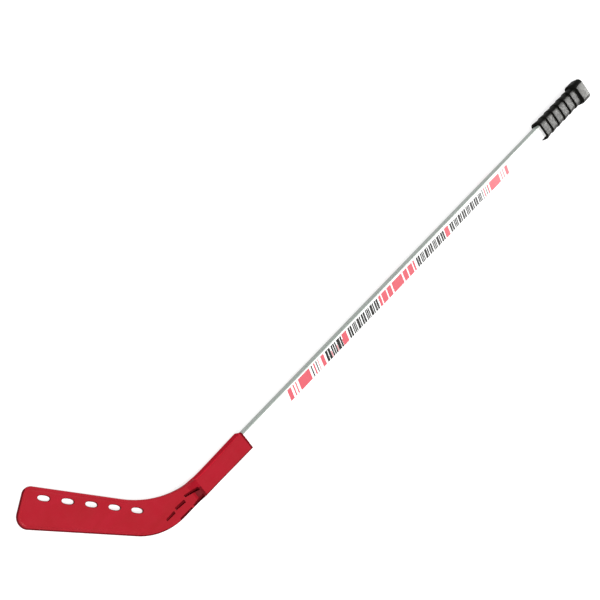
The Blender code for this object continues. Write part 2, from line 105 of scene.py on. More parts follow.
TOE_SOLE_RADIUS = 20.0 * MM
TOE_TOP_RADIUS = 15.0 * MM
HOLE_COUNT = 5
HOLE_LENGTH = 20.8 * MM
HOLE_HEIGHT = 8.6 * MM
HOLE_SQUARENESS = 2.35
HOLE_PITCH = 40.5 * MM
FIRST_HOLE = 52.4 * MM
FIRST_HOLE_UP = 41.7 * MM
HOLE_ROW_SLOPE = 0.054
HOLE_LIP = 0.8 * MM
WEB_HALF = 1.5 * MM
POCKET_WALL = 0.5 * MM
POCKET_LIP = 0.5 * MM

GRIP_RIBS = 6
GRIP_WALL_SIDE = 5.6 * MM
GRIP_WALL_FACE = 1.9 * MM
GRIP_RISE_SIDE = 0.8 * MM
GRIP_RISE_FACE = 2.8 * MM
GRIP_LIP = 0.5 * MM
GRIP_CORNER = 10.0 * MM
KNOB_WIDTH = 49.6 * MM
KNOB_THICKNESS = 34.0 * MM
KNOB_CORNER = 10.0 * MM
KNOB_EDGE = 2.2 * MM
GRIP_SHADE_TURN = 0.42           # faces turned further than this to +Y take the darker, duller rubber: painted shade
KNOB_SHADE_TURN = 0.05

# ---------------------------------------------------------------- mesh density
SHARP_ANGLE = radians(35.0)
OUTLINE_SPACING = 1.7 * MM
HOLE_POINTS = 56
EDGE_RING_SHARES = (0.03, 0.12, 0.3, 0.58, 1.0)         # of the edge's radius
BEAD_RING_STEPS = (0.0, 0.6, 1.2)                       # these three in mm
HOLE_RING_STEPS = (0.03, 0.12, 0.3, 0.55, 0.85)
POCKET_RING_STEPS = (-0.5, -0.3, -0.12, 0.25, 0.5, 0.75, 1.0)
MOUTH_X = -0.5 * MM                                     # where the mouth's rounded lip starts
MOUTH_LIP = ((-0.15 * MM, 0.13 * MM), (0.0, 0.48 * MM))
MOUTH_POINTS = 12
GRID_SPACING = 2.6 * MM
FINE_GRID_SPACING = 1.3 * MM
FINE_GRID_X = (-150.0 * MM, -113.0 * MM)                # the finer grid covers the ramp
FACE_STRIP = 0.3 * MM                                   # keeps the shading of flat faces flat
ARC_STEPS = 6

# ---------------------------------------------------------------- painted shade and painted side tones on the blade's moulding
# These tones are painted light: a darker red as painted shade on pockets, slot rims, the mouth, the ramp's
# foot, the hosel's -Y edge and the lower edges;
# a brighter red without gloss painted on the hosel's +Y narrow side; a slightly darker red as painted shade
# on the ramp.
PLAIN, PAINTED_SHADE, PAINTED_SIDE_TONE, PAINTED_RAMP_SHADE = range(4)
EDGE_TONE_WIDTH = 2.0 * MM
SLOT_TONE_WIDTH = 1.2 * MM
HOSEL_TONE_WIDTH = 2.4 * MM
MOUTH_TONE_WIDTH = 3.8 * MM
TOE_TONE_LENGTH = 14.0 * MM
SOLE_TONE_SHARE = 0.4           # of the blade's height
SIDE_TONE_SHARE = 0.6           # of the edge's radius
RAMP_TONE_TOP = 17.0 * MM
RAMP_DARK_TOP = 3.0 * MM
RAMP_DARK_START = NECK_START_X + 4.0 * MM

SOLE_DIR = Vector((cos(LIE_ANGLE), sin(LIE_ANGLE)))
RISE_DIR = Vector((sin(LIE_ANGLE), -cos(LIE_ANGLE)))
HEEL = Vector((HEEL_X, -HOSEL_WIDTH / 2))


def stick_matrix():
    """Matrix from the stick's axes to the row frame, read from two mounts of the record."""
    mounts = {mount["name"]: mount for mount in frame["record"]["mounts"]}
    along = Vector(mounts["butt_end"]["axis"]).normalized()
    up = Vector(mounts["knob_front_face"]["axis"]).normalized()
    side = up.cross(along).normalized()
    up = along.cross(side)
    origin = Vector(mounts["butt_end"]["pos_m"]) - along * BUTT_X
    axes = Matrix((along, side, up)).transposed().to_4x4()
    return Matrix.Translation(origin) @ axes


STICK = stick_matrix()


# ---------------------------------------------------------------- mesh helpers
def add_piece(name, verts, faces, materials, replaced, material_of=None):
    """Make a mesh object from points in the stick's axes, and let it stand for a CAD node."""
    mesh = bpy.data.meshes.new(name)
    mesh.from_pydata([STICK @ Vector(v) for v in verts], [], [tuple(f) for f in faces])
    for material in materials:
        mesh.materials.append(material)
    if material_of is not None:
        mesh.polygons.foreach_set("material_index", material_of)
    mesh.validate()
    mesh.shade_smooth()
    mesh.set_sharp_from_angle(angle=SHARP_ANGLE)
    piece = bpy.data.objects.new(name, mesh)
    bpy.context.scene.collection.objects.link(piece)
    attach(piece, "root")
    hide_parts(replaced)
    return piece


def signed_area(points):
    p = np.asarray(points)
    q = np.roll(p, -1, axis=0)
    return float((p[:, 0] * q[:, 1] - p[:, 1] * q[:, 0]).sum() / 2)


def inside(points, loop):
    """Which points lie inside a closed loop, by counting crossings."""
    points = np.asarray(points)
    loop = np.asarray(loop)
    result = np.zeros(len(points), bool)
    x, y = points[:, 0], points[:, 1]
    for (x0, y0), (x1, y1) in zip(loop, np.roll(loop, -1, axis=0)):
        if y0 == y1:
            continue
        crosses = ((y0 > y) != (y1 > y)) & (x < (x1 - x0) * (y - y0) / (y1 - y0) + x0)
        result ^= crosses
    return result


def distance(points, start, end):
    """Shortest distance from each point to a set of segments."""
    points = np.asarray(points)
    best = np.full(len(points), np.inf)
    for (x0, y0), (x1, y1) in zip(start, end):
        run = np.array((x1 - x0, y1 - y0))
        reach = points - (x0, y0)
        share = np.clip(reach @ run / (run @ run), 0.0, 1.0)
        gap = reach - share[:, None] * run
        best = np.minimum(best, (gap * gap).sum(axis=1))
    return np.sqrt(best)


def loop_distance(points, loop):
    loop = np.asarray(loop)
    return distance(points, loop, np.roll(loop, -1, axis=0))


def offset_loop(loop, inward):
    """Move each point of a closed counter-clockwise loop along its inward normal."""
    p = np.asarray(loop)
    along = np.roll(p, -1, axis=0) - np.roll(p, 1, axis=0)
    along /= np.linalg.norm(along, axis=1)[:, None]
    return p + np.stack((-along[:, 1], along[:, 0]), axis=1) * inward


def triangulate(loops, lines, extra, keep):
    """Constrained triangulation of closed loops, open lines and loose points.

    keep(centres) says which faces stay.
    """
    points = []
    edges = []
    for closed, group in ((True, loops), (False, lines)):
        for line in group:
            first = len(points)
            points += [Vector((float(x), float(y))) for x, y in line]
            last = len(points) - 1
            edges += [(i, i + 1) for i in range(first, last)]
            if closed:
                edges.append((last, first))
    points += [Vector((float(x), float(y))) for x, y in extra]
    verts, _edges, faces, *_ids = delaunay_2d_cdt(points, edges, [], 0, 1e-7)
    verts = np.array([(v.x, v.y) for v in verts])
    faces = np.array(faces)
    centres = verts[faces].mean(axis=1)
    stays = keep(centres)
    used, faces = np.unique(faces[stays], return_inverse=True)
    return verts[used], faces.reshape(-1, 3), centres[stays]


def rim_edges(faces):
    """Directed edges that only one face uses."""
    seen = {}
    for a, b, c in faces.tolist():
        for edge in ((a, b), (b, c), (c, a)):
            seen[edge] = True
    return [edge for edge in seen if (edge[1], edge[0]) not in seen]


def chain(edges):
    """Put directed edges in order, starting from an end if there is one."""
    after = dict(edges)
    starts = set(after) - set(after.values())
    here = starts.pop() if starts else next(iter(after))
    order = [here]
    while here in after:
        here = after[here]
        if here == order[0]:
            break
        order.append(here)
    return order


def rounded_rectangle(half_width, half_thickness, radius, steps, flats=1):
    """Rounded rectangle in Y and Z, counter-clockwise, with its straight sides split into flats."""
    arcs = []
    for corner, (side_y, side_z) in enumerate(((1, 1), (-1, 1), (-1, -1), (1, -1))):
        centre = np.array((side_y * (half_width - radius), side_z * (half_thickness - radius)))
        angles = pi / 2 * (corner + np.arange(steps + 1) / steps)
        arcs.append(centre + radius * np.stack((np.cos(angles), np.sin(angles)), axis=1))
    points = []
    for arc, following in zip(arcs, arcs[1:] + arcs[:1]):
        points += list(arc)
        for step in range(1, flats):
            points.append(arc[-1] + (following[0] - arc[-1]) * step / flats)
    return np.array(points)


def shaft_space(steps, flats=1):
    """Section of the room that the shaft takes up, with its fit gap."""
    return rounded_rectangle(SHAFT_WIDTH / 2 + FIT_GAP, SHAFT_THICKNESS / 2 + FIT_GAP,
                             SHAFT_CORNER + FIT_GAP, steps, flats)


def skin(sections, closed_ring):
    """Verts and faces for rings of (x, points); closed_ring joins the last ring to the first."""
    verts = []
    faces = []
    count = len(sections[0][1])
    for x, section in sections:
        verts += [(x, y, z) for y, z in section]
    rings = list(range(len(sections)))
    pairs = list(zip(rings, rings[1:])) + ([(rings[-1], 0)] if closed_ring else [])
    for first, second in pairs:
        for here in range(count):
            after = (here + 1) % count
            faces.append((first * count + here, first * count + after,
                          second * count + after, second * count + here))
    if not closed_ring:
        faces.append(tuple(range(count))[::-1])
        faces.append(tuple(range((len(sections) - 1) * count, len(sections) * count)))
    return verts, faces


# ---------------------------------------------------------------- blade outline
def blade_point(along, up):
    return HEEL + SOLE_DIR * along + RISE_DIR * up


def meeting(point_a, dir_a, point_b, dir_b):
    across = dir_a.x * dir_b.y - dir_a.y * dir_b.x
    gap = point_b - point_a
    return point_a + dir_a * ((gap.x * dir_b.y - gap.y * dir_b.x) / across)


def fillet(corner, dir_in, dir_out, radius, spacing):
    """Arc that rounds a corner, with points about a spacing apart."""
    turn = atan2(dir_in.x * dir_out.y - dir_in.y * dir_out.x, dir_in.dot(dir_out))
    start = corner - dir_in * radius * tan(abs(turn) / 2)
    side = 1 if turn > 0 else -1
    centre = start + Vector((-dir_in.y, dir_in.x)) * side * radius
    spoke = start - centre
    steps = max(6, ceil(abs(turn) * radius / spacing))
    points = []
    for step in range(steps + 1):
        angle = turn * step / steps
        points.append(centre + Vector((spoke.x * cos(angle) - spoke.y * sin(angle),
                                       spoke.x * sin(angle) + spoke.y * cos(angle))))
    return points


def subdivide(points, spacing):
    fine = [points[0]]
    for a, b in zip(points, points[1:]):
        steps = max(1, ceil((b - a).length / spacing))
        fine += [a + (b - a) * step / steps for step in range(1, steps + 1)]
    return np.array([(p.x, p.y) for p in fine])


def blade_outline(mouth_x):
    """Open line from the mouth's lower corner round the blade to the mouth's upper corner."""
    to_blade = Vector((-1.0, 0.0))
    top_heel = blade_point(0, BLADE_HEIGHT_HEEL)
    top_dir = (blade_point(BLADE_LENGTH, BLADE_HEIGHT_TOE) - top_heel).normalized()
    toe_dir = (RISE_DIR * cos(TOE_LEAN) - SOLE_DIR * sin(TOE_LEAN)).normalized()
    toe_foot = blade_point(BLADE_LENGTH, 0)
    throat = meeting(Vector((0.0, HOSEL_WIDTH / 2)), to_blade, top_heel, top_dir)
    toe_head = meeting(toe_foot, toe_dir, top_heel, top_dir)
    spacing = OUTLINE_SPACING
    fine = spacing * 0.6
    line = [Vector((mouth_x, -HOSEL_WIDTH / 2))]
    line += fillet(HEEL, to_blade, SOLE_DIR, HEEL_RADIUS, spacing)
    line += fillet(toe_foot, SOLE_DIR, toe_dir, TOE_SOLE_RADIUS, fine)
    line += fillet(toe_head, toe_dir, -top_dir, TOE_TOP_RADIUS, fine)
    line += fillet(throat, -top_dir, -to_blade, THROAT_RADIUS, spacing)
    line.append(Vector((mouth_x, HOSEL_WIDTH / 2)))
    outline = subdivide(line, spacing)
    outline[-1, 0] = outline[0, 0]
    return outline


def oval(centre, along, length, height, steps):
    """Closed loop between an ellipse and a rectangle in shape."""
    across = Vector((-along.y, along.x))
    power = 2 / HOLE_SQUARENESS
    points = []
    for step in range(steps):
        angle = 2 * pi * step / steps
        reach = length / 2 * abs(cos(angle)) ** power * (1 if cos(angle) >= 0 else -1)
        rise = height / 2 * abs(sin(angle)) ** power * (1 if sin(angle) >= 0 else -1)
        place = centre + along * reach + across * rise
        points.append((place.x, place.y))
    return np.array(points)


def hole_loops():
    row_dir = (SOLE_DIR + RISE_DIR * HOLE_ROW_SLOPE).normalized()
    loops = []
    for number in range(HOLE_COUNT):
        step = number * HOLE_PITCH
        centre = blade_point(FIRST_HOLE + step, FIRST_HOLE_UP + HOLE_ROW_SLOPE * step)
        loop = oval(centre, row_dir, HOLE_LENGTH, HOLE_HEIGHT, HOLE_POINTS)
        loops.append(loop if signed_area(loop) > 0 else loop[::-1])
    return loops


def pocket_loops():
    """Outlines of the neck's coring pockets, with small corner radii, counter-clockwise."""
    rows = [
        (-126, -154, (-0.7, 5.5), (7.1, 11.3)),
        (-158, -180, (0.1, 5.9), (2.1, 6.9)),
        (-184, -204, (-0.5, 4.5), (-0.1, 3.5)),
        (-126, -151, (-16.4, -9.6), (-16.4, -12.2)),
        (-155, -184, (-16.4, -13.0), (-15.6, -12.4)),
    ]
    loops = []
    for x_from, x_to, span_from, span_to in rows:
        corners = [Vector((x_from, span_from[0])) * MM, Vector((x_from, span_from[1])) * MM,
                   Vector((x_to, span_to[1])) * MM, Vector((x_to, span_to[0])) * MM]
        line = []
        for before, corner, after in zip(corners[-1:] + corners[:-1], corners, corners[1:] + corners[:1]):
            line += fillet(corner, (corner - before).normalized(), (after - corner).normalized(),
                           0.9 * MM, 0.35 * MM)
        loop = subdivide(line + [line[0]], 1.2 * MM)[:-1]
        loops.append(loop if signed_area(loop) > 0 else loop[::-1])
    return loops


# ---------------------------------------------------------------- blade surface
def ease(value, low, high):
    share = np.clip((value - low) / (high - low), 0.0, 1.0)
    return share * share * (3 - 2 * share)


def full_thickness(x):
    """Thickness of the moulding: hosel with its draft, ramp, then the neck's taper to the blade."""
    hosel = HOSEL_END_THICKNESS + (HOSEL_MOUTH_THICKNESS - HOSEL_END_THICKNESS) * (1 - x / HOSEL_END_X)
    ramp = NECK_THICKNESS + (HOSEL_END_THICKNESS - NECK_THICKNESS) * ease(x, NECK_START_X, HOSEL_END_X)
    share = np.clip((x - TAPER_END_X) / (NECK_START_X - TAPER_END_X), 0.0, 1.0)
    neck = BLADE_THICKNESS + (NECK_THICKNESS - BLADE_THICKNESS) * share ** NECK_TAPER_POWER
    return np.where(x >= HOSEL_END_X, hosel, np.where(x >= NECK_START_X, ramp, neck))


def edge_radius(x):
    hosel = MOUTH_EDGE_ROUND + (HOSEL_EDGE_ROUND - MOUTH_EDGE_ROUND) * ease(x / HOSEL_END_X, 0, 0.75)
    blade = BLADE_EDGE_ROUND + (HOSEL_EDGE_ROUND - BLADE_EDGE_ROUND) * ease(x, TAPER_END_X, HOSEL_END_X)
    blade = np.minimum(blade, full_thickness(x) / 2 - 0.4 * MM)
    return np.where(x >= HOSEL_END_X, hosel, blade)


def rounding(gap, radius):
    """How far a face has dropped at a gap from an edge rounded by a radius."""
    share = np.clip(gap / radius, 0.0, 1.0)
    return radius * (1 - np.sqrt(1 - (1 - share) ** 2))


def surface_height(points, outline, holes, pockets):
    """Height of the front face over the middle plane."""
    x = points[:, 0]
    gap = distance(points, outline[:-1], outline[1:])
    half = full_thickness(x) / 2
    sink = PANEL_SINK * ease(gap, BEAD_WIDTH, BEAD_WIDTH + BEAD_SLOPE)
    sink = sink * (1 - ease(x, TAPER_END_X - BEAD_FADE, TAPER_END_X + BEAD_FADE))
    height = half - sink - rounding(gap, edge_radius(x))
    for hole in holes:
        height -= rounding(loop_distance(points, hole), HOLE_LIP)
    for pocket in pockets:
        away = loop_distance(points, pocket)
        within = inside(points, pocket)
        depth = np.where(within, away, -away)
        lip = rounding(-depth, POCKET_LIP)
        floor_rise = POCKET_LIP * (1 - np.clip((depth - POCKET_WALL) / POCKET_LIP, 0, 1)) ** 2
        wall = np.clip(depth / POCKET_WALL, 0, 1)
        low = WEB_HALF + floor_rise
        height = np.where(depth > 0, (height - POCKET_LIP) * (1 - wall) + low * wall, height - lip)
    return height


def edge_rings(outline):
    """Lines inside the outline that carry its rounded edge and its bead, and the depth of the last."""
    along = np.zeros_like(outline)
    along[1:-1] = outline[2:] - outline[:-2]
    along[0] = (-1, 0)
    along[-1] = (1, 0)
    along /= np.linalg.norm(along, axis=1)[:, None]
    normal = np.stack((along[:, 1], -along[:, 0]), axis=1)
    radius = edge_radius(outline[:, 0])
    bead = np.maximum(BEAD_WIDTH, radius + 0.9 * MM)
    rings = [outline + normal * (radius * share)[:, None] for share in EDGE_RING_SHARES]
    rings += [outline + normal * (bead + step * MM)[:, None] for step in BEAD_RING_STEPS]
    return rings, bead.max() + BEAD_RING_STEPS[-1] * MM


def loose_points(outline, holes, pockets, deepest):
    """Staggered grid over the flat parts of the sheet, with a finer one on the ramp."""
    low = outline.min(axis=0)
    high = outline.max(axis=0)
    loose = []
    for spacing, x_low, x_high in ((GRID_SPACING, low[0], high[0]), (FINE_GRID_SPACING, *FINE_GRID_X)):
        columns = np.arange(x_low, x_high, spacing)
        rows = np.arange(low[1], high[1], spacing)
        grid = np.array([(x + (number % 2) * spacing / 2, y)
                         for number, y in enumerate(rows) for x in columns])
        clear = inside(grid, outline) & (distance(grid, outline[:-1], outline[1:]) > deepest + 0.8 * MM)
        clear &= grid[:, 0] < -MOUTH_TONE_WIDTH - 1.5 * MM
        for hole in holes:
            clear &= ~inside(grid, hole) & (loop_distance(grid, hole) > 1.5 * MM)
        for pocket in pockets:
            gap = loop_distance(grid, pocket)
            clear &= np.where(inside(grid, pocket), gap > 1.6 * MM, gap > 1.2 * MM)
        loose.append(grid[clear])
    return np.concatenate(loose)


def blade_sheet():
    """Plan triangulation of the blade, neck and hosel, dense where the surface bends."""
    outline = blade_outline(MOUTH_X)
    holes = hole_loops()
    pockets = pocket_loops()
    rings, deepest = edge_rings(outline)
    middle = np.linspace(rings[-1][0, 1], rings[-1][-1, 1], MOUTH_POINTS)[1:-1]
    lower = [ring[0, 1] for ring in rings]
    upper = [ring[-1, 1] for ring in reversed(rings)]
    mouth = [(MOUTH_X, y) for y in [outline[0, 1], *lower, *middle, *upper, outline[-1, 1]]]
    # line where the painted shade at the mouth ends
    mouth_shade_line = [(-MOUTH_TONE_WIDTH, y) for y in middle]
    hole_rings = [offset_loop(hole, -step * MM) for hole in holes for step in HOLE_RING_STEPS]
    pocket_rings = [offset_loop(pocket, step * MM) for pocket in pockets for step in POCKET_RING_STEPS]

    def keep(centres):
        stays = inside(centres, outline)
        for hole in holes:
            stays &= ~inside(centres, hole)
        return stays

    verts, faces, _centres = triangulate([*holes, *pockets, *hole_rings, *pocket_rings],
                                         [outline, mouth, mouth_shade_line, *rings],
                                         loose_points(outline, holes, pockets, deepest), keep)
    return verts, faces, surface_height(verts, outline, holes, pockets)


def shaded(centres):
    """Tone of each face of the sheet: painted shade, the painted side tone, the painted ramp shade or plain
    red.
    """
    outline = blade_outline(0.0)
    x, y = centres[:, 0], centres[:, 1]
    gap = distance(centres, outline[:-1], outline[1:])
    from_heel = centres - np.array(HEEL)
    along = from_heel @ np.array(SOLE_DIR)
    up = from_heel @ np.array(RISE_DIR)
    hosel = x >= HOSEL_END_X
    ramp = (x > NECK_START_X) & ~hosel
    lower_edge = y < 3 * MM - HOSEL_WIDTH / 2
    lower_edge |= up < SOLE_TONE_SHARE * BLADE_HEIGHT_HEEL
    lower_edge |= along > BLADE_LENGTH - TOE_TONE_LENGTH
    # dark: faces that get painted shade, on the lower edges, the hosel's -Y edge, the mouth, the ramp's
    # foot, the pockets and the slot rims
    dark = (gap < EDGE_TONE_WIDTH) & lower_edge & ~hosel
    dark |= (gap < HOSEL_TONE_WIDTH) & (y < 0) & hosel
    dark |= x > -MOUTH_TONE_WIDTH
    dark |= ramp & (y < RAMP_DARK_TOP) & (x > RAMP_DARK_START)
    for pocket in pocket_loops():
        dark |= inside(centres, pocket)
    for hole in hole_loops():
        dark |= loop_distance(centres, hole) < SLOT_TONE_WIDTH
    # side: the hosel's +Y rounding, painted a brighter red without gloss
    side = hosel & (y > 0) & (gap < SIDE_TONE_SHARE * edge_radius(x))
    # shade: the rest of the ramp, given a slightly darker painted shade
    shade = ramp & (y < RAMP_TONE_TOP)
    return np.where(dark, PAINTED_SHADE, np.where(side, PAINTED_SIDE_TONE, np.where(shade, PAINTED_RAMP_SHADE, PLAIN)))


def ring_between(outer, inner):
    """Triangles between two closed loops in one plane, as indices into outer then inner."""
    def keep(centres):
        return inside(centres, outer) & ~inside(centres, inner)

    verts, faces, _centres = triangulate([outer, inner], [], [], keep)
    both = np.concatenate((outer, inner))
    nearest = [int(np.argmin(((both - v) ** 2).sum(axis=1))) for v in verts]
    return [[nearest[i] for i in face] for face in faces.tolist()]


def make_blade(materials):
    """Blade, neck and hosel in one: the sheet on both sides, the rim, the mouth's lip and the socket."""
    plan, faces, height = blade_sheet()
    count = len(plan)
    verts = [(x, y, h) for (x, y), h in zip(plan, height)]
    verts += [(x, y, -h) for (x, y), h in zip(plan, height)]
    skin_faces = [tuple(face) for face in faces.tolist()]
    skin_faces += [(c + count, b + count, a + count) for a, b, c in faces.tolist()]
    tones = list(shaded(plan[faces].mean(axis=1))) * 2
    mouth = []
    for a, b in rim_edges(faces):
        if min(plan[a, 0], plan[b, 0]) > MOUTH_X - 1e-6:
            mouth.append((a, b))
        else:
            skin_faces.append((b, a, a + count, b + count))
            # rim walls take painted shade, except on the hosel and the throat, where they take the painted
            # side tone
            in_throat = plan[a, 1] > 3 * MM and plan[a, 0] > NECK_START_X
            tones.append(PAINTED_SHADE if plan[a, 0] < HOSEL_END_X and not in_throat else PAINTED_SIDE_TONE)
    front = chain(mouth)
    loop = front + [i + count for i in reversed(front)]
    section = np.array([(verts[i][1], verts[i][2]) for i in loop])
    if signed_area(section) < 0:
        loop = loop[::-1]
        section = section[::-1]
    rings = [loop]
    for x, inset in MOUTH_LIP:
        first = len(verts)
        last_section = offset_loop(section, inset)
        verts += [(x, y, z) for y, z in last_section]
        rings.append(list(range(first, first + len(loop))))
    for first, second in zip(rings, rings[1:]):
        for here in range(len(loop)):
            after = (here + 1) % len(loop)
            skin_faces.append((first[here], first[after], second[after], second[here]))
            # the mouth's lip takes painted shade
            tones.append(PAINTED_SHADE)
    socket = shaft_space(8)
    first = len(verts)
    size = len(socket)
    for x in (0.0, -SOCKET_DEPTH - FIT_GAP):
        verts += [(x, y, z) for y, z in socket]
    index = rings[-1] + list(range(first, first + size))
    skin_faces += [tuple(index[i] for i in face) for face in ring_between(last_section, socket)]
    for here in range(size):
        after = (here + 1) % size
        skin_faces.append((first + here, first + after, first + size + after, first + size + here))
    skin_faces.append(tuple(range(first + size, first + 2 * size)))
    tones += [PLAIN] * (len(skin_faces) - len(tones))
    blade = add_piece("blade_moulding", verts, skin_faces, materials, "blade", tones)
    face_out(blade)
    return blade


def paint_shade_on_sides(piece, turned):
    """Paint shade on a rubber piece's narrow sides and rib steps by giving them its second, darker and
    duller material.
    """
    turn = STICK.to_3x3().inverted()
    for polygon in piece.data.polygons:
        facing = turn @ polygon.normal
        polygon.material_index = int(facing.y > turned or facing.y < -0.9 or facing.x < -0.5)


def face_out(piece):
    """Turn every face of a closed mesh outwards, and mark its hard edges."""
    shell = bmesh.new()
    shell.from_mesh(piece.data)
    bmesh.ops.recalc_face_normals(shell, faces=shell.faces)
    open_edges = sum(1 for edge in shell.edges if len(edge.link_faces) != 2)
    if open_edges:
        print(piece.name, "has open edges:", open_edges)
    shell.to_mesh(piece.data)
    shell.free()
    piece.data.set_sharp_from_angle(angle=SHARP_ANGLE)


# ---------------------------------------------------------------- shaft with its print
# the last index is a grey copy of the white plastic, painted shade on the narrow sides
WHITE, RED_INK, BLACK_INK, SHADED_SIDE = range(4)
PRINT_LEAN = 0.32               # run along the shaft per rise across it
PRINT_HALF = 9.8
PRINT_START_X = 121.0 * MM
PRINT_END_X = 869.0 * MM
PRINT_DROP_START = 0.6 * MM
PRINT_DROP_END = 2.6 * MM
PRINT_NARROWING = 0.15
# Ink of each full-height bar, with its start and end along the shaft in mm.
PRINT_BARS = (
    (RED_INK, 121, 131), (RED_INK, 136, 139), (RED_INK, 143.5, 146.5), (RED_INK, 152, 185),
    (BLACK_INK, 190, 193), (RED_INK, 197, 200.5), (BLACK_INK, 204, 206.5), (RED_INK, 210, 211.6),
    (RED_INK, 219, 228), (RED_INK, 284, 298), (RED_INK, 402, 409), (RED_INK, 412, 427),
    (RED_INK, 430, 443), (RED_INK, 447, 480), (RED_INK, 484, 497), (RED_INK, 500, 515),
    (RED_INK, 518, 523), (RED_INK, 630, 644), (BLACK_INK, 770, 772.5), (RED_INK, 776.5, 780),
    (BLACK_INK, 784, 786.5), (RED_INK, 790, 794), (RED_INK, 799, 836), (RED_INK, 842, 845),
    (RED_INK, 850, 853), (RED_INK, 859, 869),
)
# Start, end and half height in mm of each run of black stripes, and whether red ones stand in it.
STRIPE_RUNS = (
    (233, 281, 9.6, True), (303, 397, 9.5, False), (530, 626, 9.3, False), (649, 765, 8.9, False),
)
STRIPE_PITCH = 15.0
STRIPE_GAP = 4.0
STRIPE_UNITS = (((0.0, 5.2), (6.6, 11.8)), ((0.0, 3.3), (4.5, 7.8), (9.0, 12.0)), ((0.0, 7.0), (8.4, 12.0)))
RED_STRIPE = (12.4, 14.2)
RED_STRIPE_RISE = 0.2           # of the run's half height


def slanted(x_low, x_high, y_low, y_high):
    """Parallelogram, in mm, that leans towards the butt as it rises."""
    corners = ((x_low, y_low), (x_high, y_low), (x_high, y_high), (x_low, y_high))
    return np.array([(x + PRINT_LEAN * y, y) for x, y in corners]) * MM


def stripe_run(x_low, x_high, half, with_red):
    """Plain run of leaning bars in units of two, three and two, over and over."""
    def bar(ink, low, high, top):
        return ink, slanted(start + low * stretch, start + high * stretch, -half, top)

    length = x_high - x_low + STRIPE_GAP
    count = round(length / STRIPE_PITCH)
    stretch = length / (count * STRIPE_PITCH)
    shapes = []
    for number in range(count):
        start = x_low + number * STRIPE_PITCH * stretch
        for low, high in STRIPE_UNITS[number % len(STRIPE_UNITS)]:
            shapes.append(bar(BLACK_INK, low, high, half))
        if with_red:
            shapes.append(bar(RED_INK, *RED_STRIPE, half * RED_STRIPE_RISE))
    return shapes


def settled(loop):
    """Loop of the print, lowered and narrowed a little towards the butt."""
    share = (loop[:, 0].mean() - PRINT_START_X) / (PRINT_END_X - PRINT_START_X)
    drop = PRINT_DROP_START + (PRINT_DROP_END - PRINT_DROP_START) * share
    return loop * (1, 1 - PRINT_NARROWING * share) - (0, drop)


def print_shapes():
    """The print on a broad face, as inks and loops."""
    shapes = [(ink, slanted(low, high, -PRINT_HALF, PRINT_HALF)) for ink, low, high in PRINT_BARS]
    for run in STRIPE_RUNS:
        shapes += stripe_run(*run)
    return [(ink, settled(loop)) for ink, loop in shapes]


def printed_face(x_low, x_high, half):
    """Triangulated broad face with each triangle's ink."""
    shapes = print_shapes()
    border = [(x_low, -half), (x_high, -half), (x_high, half), (x_low, half)]
    supports = [[(x_low, y), (x_high, y)] for y in (-half + FACE_STRIP, half - FACE_STRIP)]
    verts, faces, centres = triangulate([border] + [loop for _ink, loop in shapes], supports, [],
                                        lambda c: np.ones(len(c), bool))
    inks = np.zeros(len(faces), int)
    for ink, loop in shapes:
        inks[inside(centres, loop)] = ink
    return verts, faces, inks


def side_section():
    """Points of the +Y narrow side, going from the front face round to the back face."""
    flat = SHAFT_WIDTH / 2 - SHAFT_CORNER
    level = SHAFT_THICKNESS / 2 - SHAFT_CORNER
    angles = [pi / 2 * (1 - step / ARC_STEPS) for step in range(1, ARC_STEPS + 1)]
    down = [(flat + SHAFT_CORNER * cos(angle), level + SHAFT_CORNER * sin(angle)) for angle in angles]
    down.append((SHAFT_WIDTH / 2, level - FACE_STRIP))
    return down + [(y, -z) for y, z in reversed(down)]


